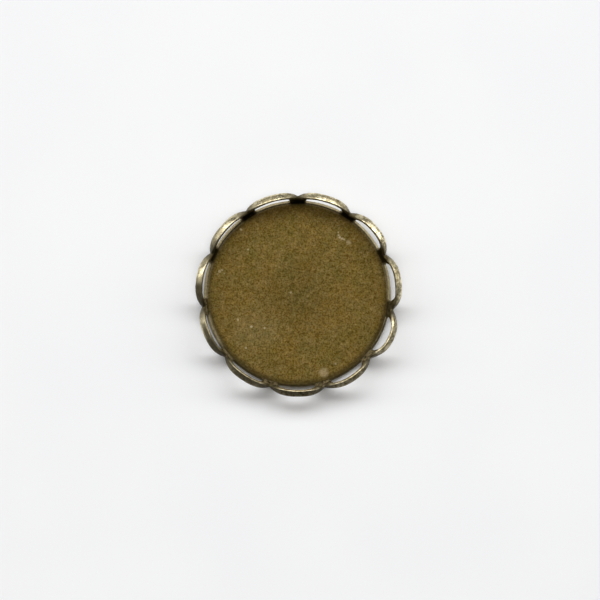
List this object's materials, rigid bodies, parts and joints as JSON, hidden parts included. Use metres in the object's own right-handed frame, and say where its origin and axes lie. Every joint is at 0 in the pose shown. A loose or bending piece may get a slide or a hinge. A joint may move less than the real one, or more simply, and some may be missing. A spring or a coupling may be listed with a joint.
{
  "type": "bezel cup setting",
  "caption": "Open-edged round brass cup for a flat-backed stone: a flat disc ringed by bulging arched loops that fold in over the stone.",
  "frame": {"origin": "middle of the disc's flat back face, on which the cup rests", "axes": "+Z is out of the open side, one loop is centred on -Y, and +X is to the right when the open side is looked into"},
  "size_m": [0.0175, 0.0172, 0.0024],
  "materials": {
    "antiqued_brass": "antiqued: matt brown and olive patina on the disc, burnished yellow on the loops' outer edges"
  },
  "bodies": {
    "root": {"cup_setting": "antiqued_brass"}
  },
  "joints": []
}
